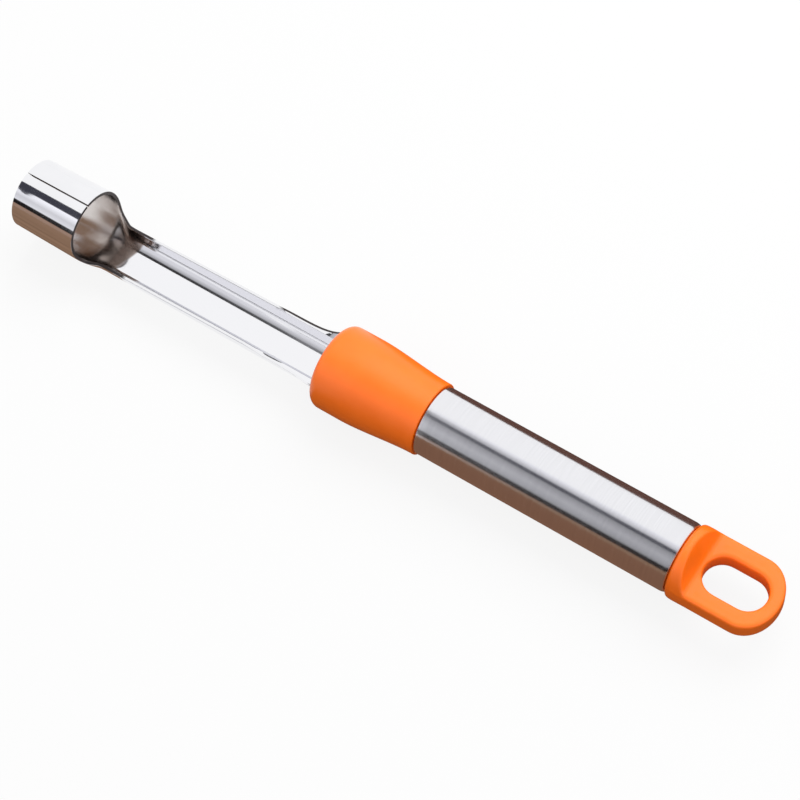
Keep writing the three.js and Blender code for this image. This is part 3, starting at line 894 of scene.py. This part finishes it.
# Level cards just above the floor
TABLE_HEIGHT = 0.4 * MM
RING_TABLE_FAR = 0.012
RING_TABLE_END = -0.078            # under the blade
RING_TABLE_NEAR_END = -0.39        # and out at the drum
TUBE_TABLE_START = -0.022
TUBE_TABLE_NEAR_START = -0.21
FAR_TABLE_START = -0.02
FAR_TABLE_WIDTH = 0.8

# An upright card in front of the mouth
MOUTH_TABLE_TOP = 0.4              # its top is below the mouth's axis by this share of the mouth's radius

# Lamp and camera
KEY_PLACE = Vector((0.05, 0.45, 0.69))
KEY_SIZE = 0.7
KEY_POWER = 6.5
VIEW_AZIMUTH = math.radians(42.24)
VIEW_ELEVATION = math.radians(61.91)
VIEW_ROLL = math.radians(-9.62)
VIEW_DISTANCE = 0.5655
VIEW_AIM = Vector((3.9 * MM, 0.3 * MM, AXIS_HEIGHT + 0.12 * MM))
LENS = 103.74


def shown_ray(tree):
    """1 for rays that show the background: from the camera, or off and through the object."""
    path = add_node(tree, "ShaderNodeLightPath")
    total = path.outputs["Is Camera Ray"]
    for name in ("Is Glossy Ray", "Is Transmission Ray"):
        either = add_node(tree, "ShaderNodeMath", {"operation": "MAXIMUM"})
        tree.links.new(total, either.inputs[0])
        tree.links.new(path.outputs[name], either.inputs[1])
        total = either.outputs["Value"]
    return total


def make_world():
    world = bpy.data.worlds.new("studio")
    world.use_nodes = True
    tree = world.node_tree
    tree.nodes.clear()
    light = add_node(tree, "ShaderNodeBackground", inputs={"Color": WHITE, "Strength": FILL_LIGHT})
    backdrop = add_node(tree, "ShaderNodeBackground", inputs={"Color": WHITE, "Strength": 1})
    mix = add_node(tree, "ShaderNodeMixShader")
    output = add_node(tree, "ShaderNodeOutputWorld")
    tree.links.new(shown_ray(tree), mix.inputs["Fac"])
    tree.links.new(light.outputs["Background"], mix.inputs[1])
    tree.links.new(backdrop.outputs["Background"], mix.inputs[2])
    tree.links.new(mix.outputs["Shader"], output.inputs["Surface"])
    bpy.context.scene.world = world


def make_floor():
    material, tree = new_material("pale_floor")
    matte = add_node(tree, "ShaderNodeBsdfDiffuse", inputs={"Color": FLOOR_COLOUR})
    glow = add_node(tree, "ShaderNodeEmission", inputs={"Color": WHITE})
    level = add_node(tree, "ShaderNodeMath", {"operation": "MULTIPLY"})
    level.inputs[1].default_value = FLOOR_GLOW
    both = add_node(tree, "ShaderNodeAddShader")
    output = add_node(tree, "ShaderNodeOutputMaterial")
    tree.links.new(shown_ray(tree), level.inputs[0])
    tree.links.new(level.outputs["Value"], glow.inputs["Strength"])
    tree.links.new(matte.outputs["BSDF"], both.inputs[0])
    tree.links.new(glow.outputs["Emission"], both.inputs[1])
    tree.links.new(both.outputs["Shader"], output.inputs["Surface"])
    bm = bmesh.new()
    bmesh.ops.create_circle(bm, cap_ends=True, segments=FLOOR_STEPS, radius=FLOOR_RADIUS)
    floor = mesh_object("floor", bm, [material])


def make_card(name, rows, grain=0):
    """A card that shows only in reflections: rows of corners with their colours, and streaks along X.

    Two rows in the same place make a hard border between two colours.
    """
    material, tree = new_material(name)
    shade = add_node(tree, "ShaderNodeVertexColor", {"layer_name": "shade"})
    glow = add_node(tree, "ShaderNodeEmission")
    output = add_node(tree, "ShaderNodeOutputMaterial")
    tree.links.new(shade.outputs["Color"], glow.inputs["Color"])
    streaks = ranged(tree, noise(tree, GRAIN_STRETCH, 3), 1 - grain, 1 + grain)
    tree.links.new(streaks, glow.inputs["Strength"])
    tree.links.new(glow.outputs["Emission"], output.inputs["Surface"])
    bm = bmesh.new()
    layer = bm.verts.layers.float_color.new("shade")
    lines = []
    for row in rows:
        line = []
        for corner, colour in row:
            vert = bm.verts.new(corner)
            vert[layer] = (*colour, 1)
            line.append(vert)
        lines.append(line)
    for low, high in zip(lines, lines[1:]):
        if (low[0].co - high[0].co).length > MM:
            bm.faces.new((*low, *reversed(high)))
    card = mesh_object(name, bm, [material])
    card.visible_camera = False
    card.visible_diffuse = False
    card.visible_transmission = False
    card.visible_shadow = False


def grey(level):
    return (level, level, level * COOLNESS)


def drum_corner(x, angle, colour, radius=DRUM_RADIUS):
    turn = math.radians(angle)
    return (x, -radius * math.sin(turn), AXIS_HEIGHT + radius * math.cos(turn)), colour


def make_drum(name, low_x, high_x, bands):
    """A curved card on the near side: angles from the zenith, each with one colour or one for each end."""
    make_card(name, [
        [drum_corner(low_x, angle, colours[0]), drum_corner(high_x, angle, colours[-1])]
        for angle, *colours in bands
    ])


def table_row(y, low, high):
    """Two corners just above the floor, each given as its place along X and its colour."""
    return [((x, y, TABLE_HEIGHT), colour) for x, colour in (low, high)]


def make_cards():
    make_drum("drum_tube", SHOULDER_ZONE_END, CARD_BACK, [
        (-6, grey(0.9)), (4, grey(0.7)), (12, grey(0.5)), (12, SLATE), (22, SLATE),
        (22, grey(0.26)), (45, grey(0.42)), (69, grey(0.28)), (69, BLACK), (83, BLACK),
        (83, WOOD), (HORIZON, WOOD),
    ])
    make_drum("drum_shoulder", SHANK_ZONE_END, SHOULDER_ZONE_END, [
        (2, grey(1)), (2, grey(0.2)), (12, grey(0.2)), (20, grey(0.45)), (45, grey(0.7)), (67, grey(0.75)),
        (69, BLACK), (86, BLACK), (86, grey(0.6)), (HORIZON, grey(0.6)),
    ])
    make_drum("drum_shank", RING_ZONE_END, SHANK_ZONE_END, [
        (2, grey(1)), (2, BLACK, grey(0.1)), (13, BLACK, grey(0.1)), (20, grey(0.4), grey(0.45)),
        (45, grey(0.7)), (HORIZON, grey(0.75)),
    ])
    make_drum("drum_ring", CARD_FRONT, RING_ZONE_END, [
        (9, grey(1)), (9, SLATE), (29, SLATE), (30, grey(1)), (35, grey(1)), (52, grey(0.66)),
        (67, grey(0.8)), (69, BLACK), (81, BLACK), (82, WOOD_LIGHT), (HORIZON, WOOD_LIGHT),
    ])
    make_card("ring_table", [
        table_row(RING_TABLE_FAR, (CARD_FRONT, WOOD), (RING_TABLE_END, WOOD)),
        table_row(0, (CARD_FRONT, WOOD), (RING_TABLE_END, WOOD)),
        table_row(-DRUM_RADIUS, (CARD_FRONT, WOOD_LIGHT), (RING_TABLE_NEAR_END, WOOD_LIGHT)),
    ], grain=WOOD_GRAIN)
    make_card("flag", [
        [drum_corner(x, angle, SLATE, FLAG_RADIUS) for x in ends]
        for angle, ends in FLAG_EDGES
    ])
    mouth_half = MOUTH_RADIUS - SHEET
    ring_axis = AXIS_HEIGHT + RING_RISE
    make_card("mouth_table", [
        [((MOUTH_X - GRIND_LENGTH, side * mouth_half, height), WOOD) for side in (-1, 1)]
        for height in (ring_axis - mouth_half, ring_axis - MOUTH_TABLE_TOP * mouth_half)
    ])
    make_card("tube_table", [
        table_row(0, (TUBE_TABLE_START, WOOD_MID), (CARD_BACK, WOOD_MID)),
        table_row(-DRUM_RADIUS, (TUBE_TABLE_NEAR_START, WOOD), (CARD_BACK, WOOD)),
    ])
    make_card("far_table", [
        table_row(y, (FAR_TABLE_START, WOOD_DARK), (CARD_BACK, WOOD_DARK)) for y in (0, FAR_TABLE_WIDTH)
    ])


def make_lamp():
    light = bpy.data.lights.new("softbox", "AREA")
    light.size = KEY_SIZE
    light.energy = KEY_POWER
    lamp = bpy.data.objects.new("softbox", light)
    bpy.context.scene.collection.objects.link(lamp)
    lamp.location = KEY_PLACE
    lamp.rotation_euler = (-KEY_PLACE).to_track_quat("-Z", "Y").to_euler()
    lamp.visible_glossy = False


def make_camera():
    data = bpy.data.cameras.new("camera")
    data.lens = LENS
    camera = bpy.data.objects.new("camera", data)
    bpy.context.scene.collection.objects.link(camera)
    level = math.cos(VIEW_ELEVATION)
    back = Vector((
        math.sin(VIEW_AZIMUTH) * level,
        -math.cos(VIEW_AZIMUTH) * level,
        math.sin(VIEW_ELEVATION),
    ))
    facing = (-back).to_track_quat("-Z", "Y").to_matrix().to_4x4()
    camera.matrix_world = (
        Matrix.Translation(VIEW_AIM + back * VIEW_DISTANCE) @ facing @ Matrix.Rotation(VIEW_ROLL, 4, "Z")
    )
    bpy.context.scene.camera = camera


plastic = orange_plastic()
make_blade([polished_steel(), rolled_steel_and_neck_shade(), sheared_steel_and_painted_shade()])
make_collar(plastic)
make_tube(satin_steel())
make_cap(plastic)

make_world()
make_floor()
make_cards()
make_lamp()
make_camera()
bpy.context.scene.view_settings.view_transform = "Standard"
